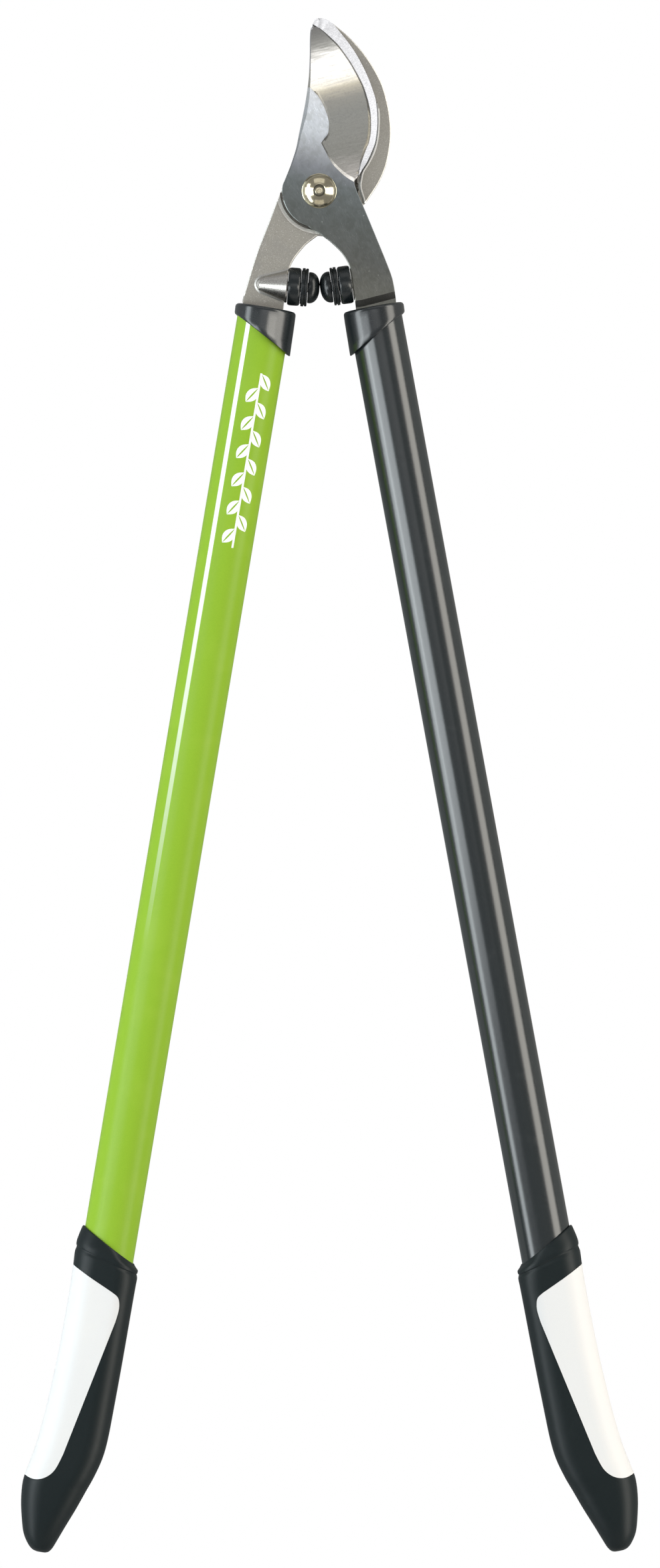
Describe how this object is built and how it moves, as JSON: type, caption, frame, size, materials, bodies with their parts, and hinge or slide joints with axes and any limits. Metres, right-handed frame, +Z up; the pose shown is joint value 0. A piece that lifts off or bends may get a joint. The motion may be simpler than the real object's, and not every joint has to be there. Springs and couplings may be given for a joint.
{
  "type": "bypass loppers",
  "caption": "Two-handed bypass loppers: curved cutting blade passing a hook, rubber bumpers, long tube handles with angled collars and two-tone grips.",
  "frame": {"origin": "centre of the bounding box's base, on the surface the loppers lie on", "axes": "+Y along the loppers towards the blade tips, +Z up, out of the blade's face, +X towards the cutting blade's handle"},
  "size_m": [0.3213, 0.7999, 0.0326],
  "materials": {
    "blade_steel": "ground and polished blade steel, hollow-ground face with a bright bevel",
    "hook_steel": "sand-blasted nickel-grey steel",
    "bolt_nickel": "polished nickel plate",
    "zinc_plate": "zinc plate",
    "white_nylon": "natural nylon",
    "bumper_rubber": "semi-gloss moulded rubber",
    "black_plastic": "satin moulded plastic",
    "sleeve_plastic": "plain moulded plastic",
    "green_paint": "lime green powder coat with a white stripe and sprig",
    "black_paint": "satin black powder coat",
    "grip_black": "matt soft-touch moulding",
    "inlay_white": "matt pale soft-touch moulding"
  },
  "bodies": {
    "hook_side": {"hook_blade": "hook_steel", "pivot_bolt": "bolt_nickel", "pivot_washer": "zinc_plate", "pivot_nut": "zinc_plate", "nut_locking_ring": "white_nylon", "hook_bumper_base": "bumper_rubber", "hook_bumper_flange": "bumper_rubber", "hook_bumper_cap": "bumper_rubber", "hook_bumper_stud": "zinc_plate", "hook_handle_collar": "black_plastic", "hook_handle_tube": "green_paint", "hook_handle_tang_sleeve": "sleeve_plastic", "hook_handle_tang_rivet": "zinc_plate", "hook_handle_tube_plug": "sleeve_plastic", "hook_handle_grip": "grip_black", "hook_handle_grip_inlay": "inlay_white"},
    "blade_side": {"cutting_blade": "blade_steel", "blade_bumper_base": "bumper_rubber", "blade_bumper_flange": "bumper_rubber", "blade_bumper_cap": "bumper_rubber", "blade_bumper_stud": "zinc_plate", "blade_handle_collar": "black_plastic", "blade_handle_tube": "black_paint", "blade_handle_tang_sleeve": "sleeve_plastic", "blade_handle_tang_rivet": "zinc_plate", "blade_handle_tube_plug": "sleeve_plastic", "blade_handle_grip": "grip_black", "blade_handle_grip_inlay": "inlay_white"}
  },
  "joints": [
    {"name": "pivot", "type": "hinge", "parent": "hook_side", "child": "blade_side", "pos_m": [-0.0053, 0.3096, 0.0163], "axis": [0, 0, 1], "range_deg": [0, 55]}
  ]
}
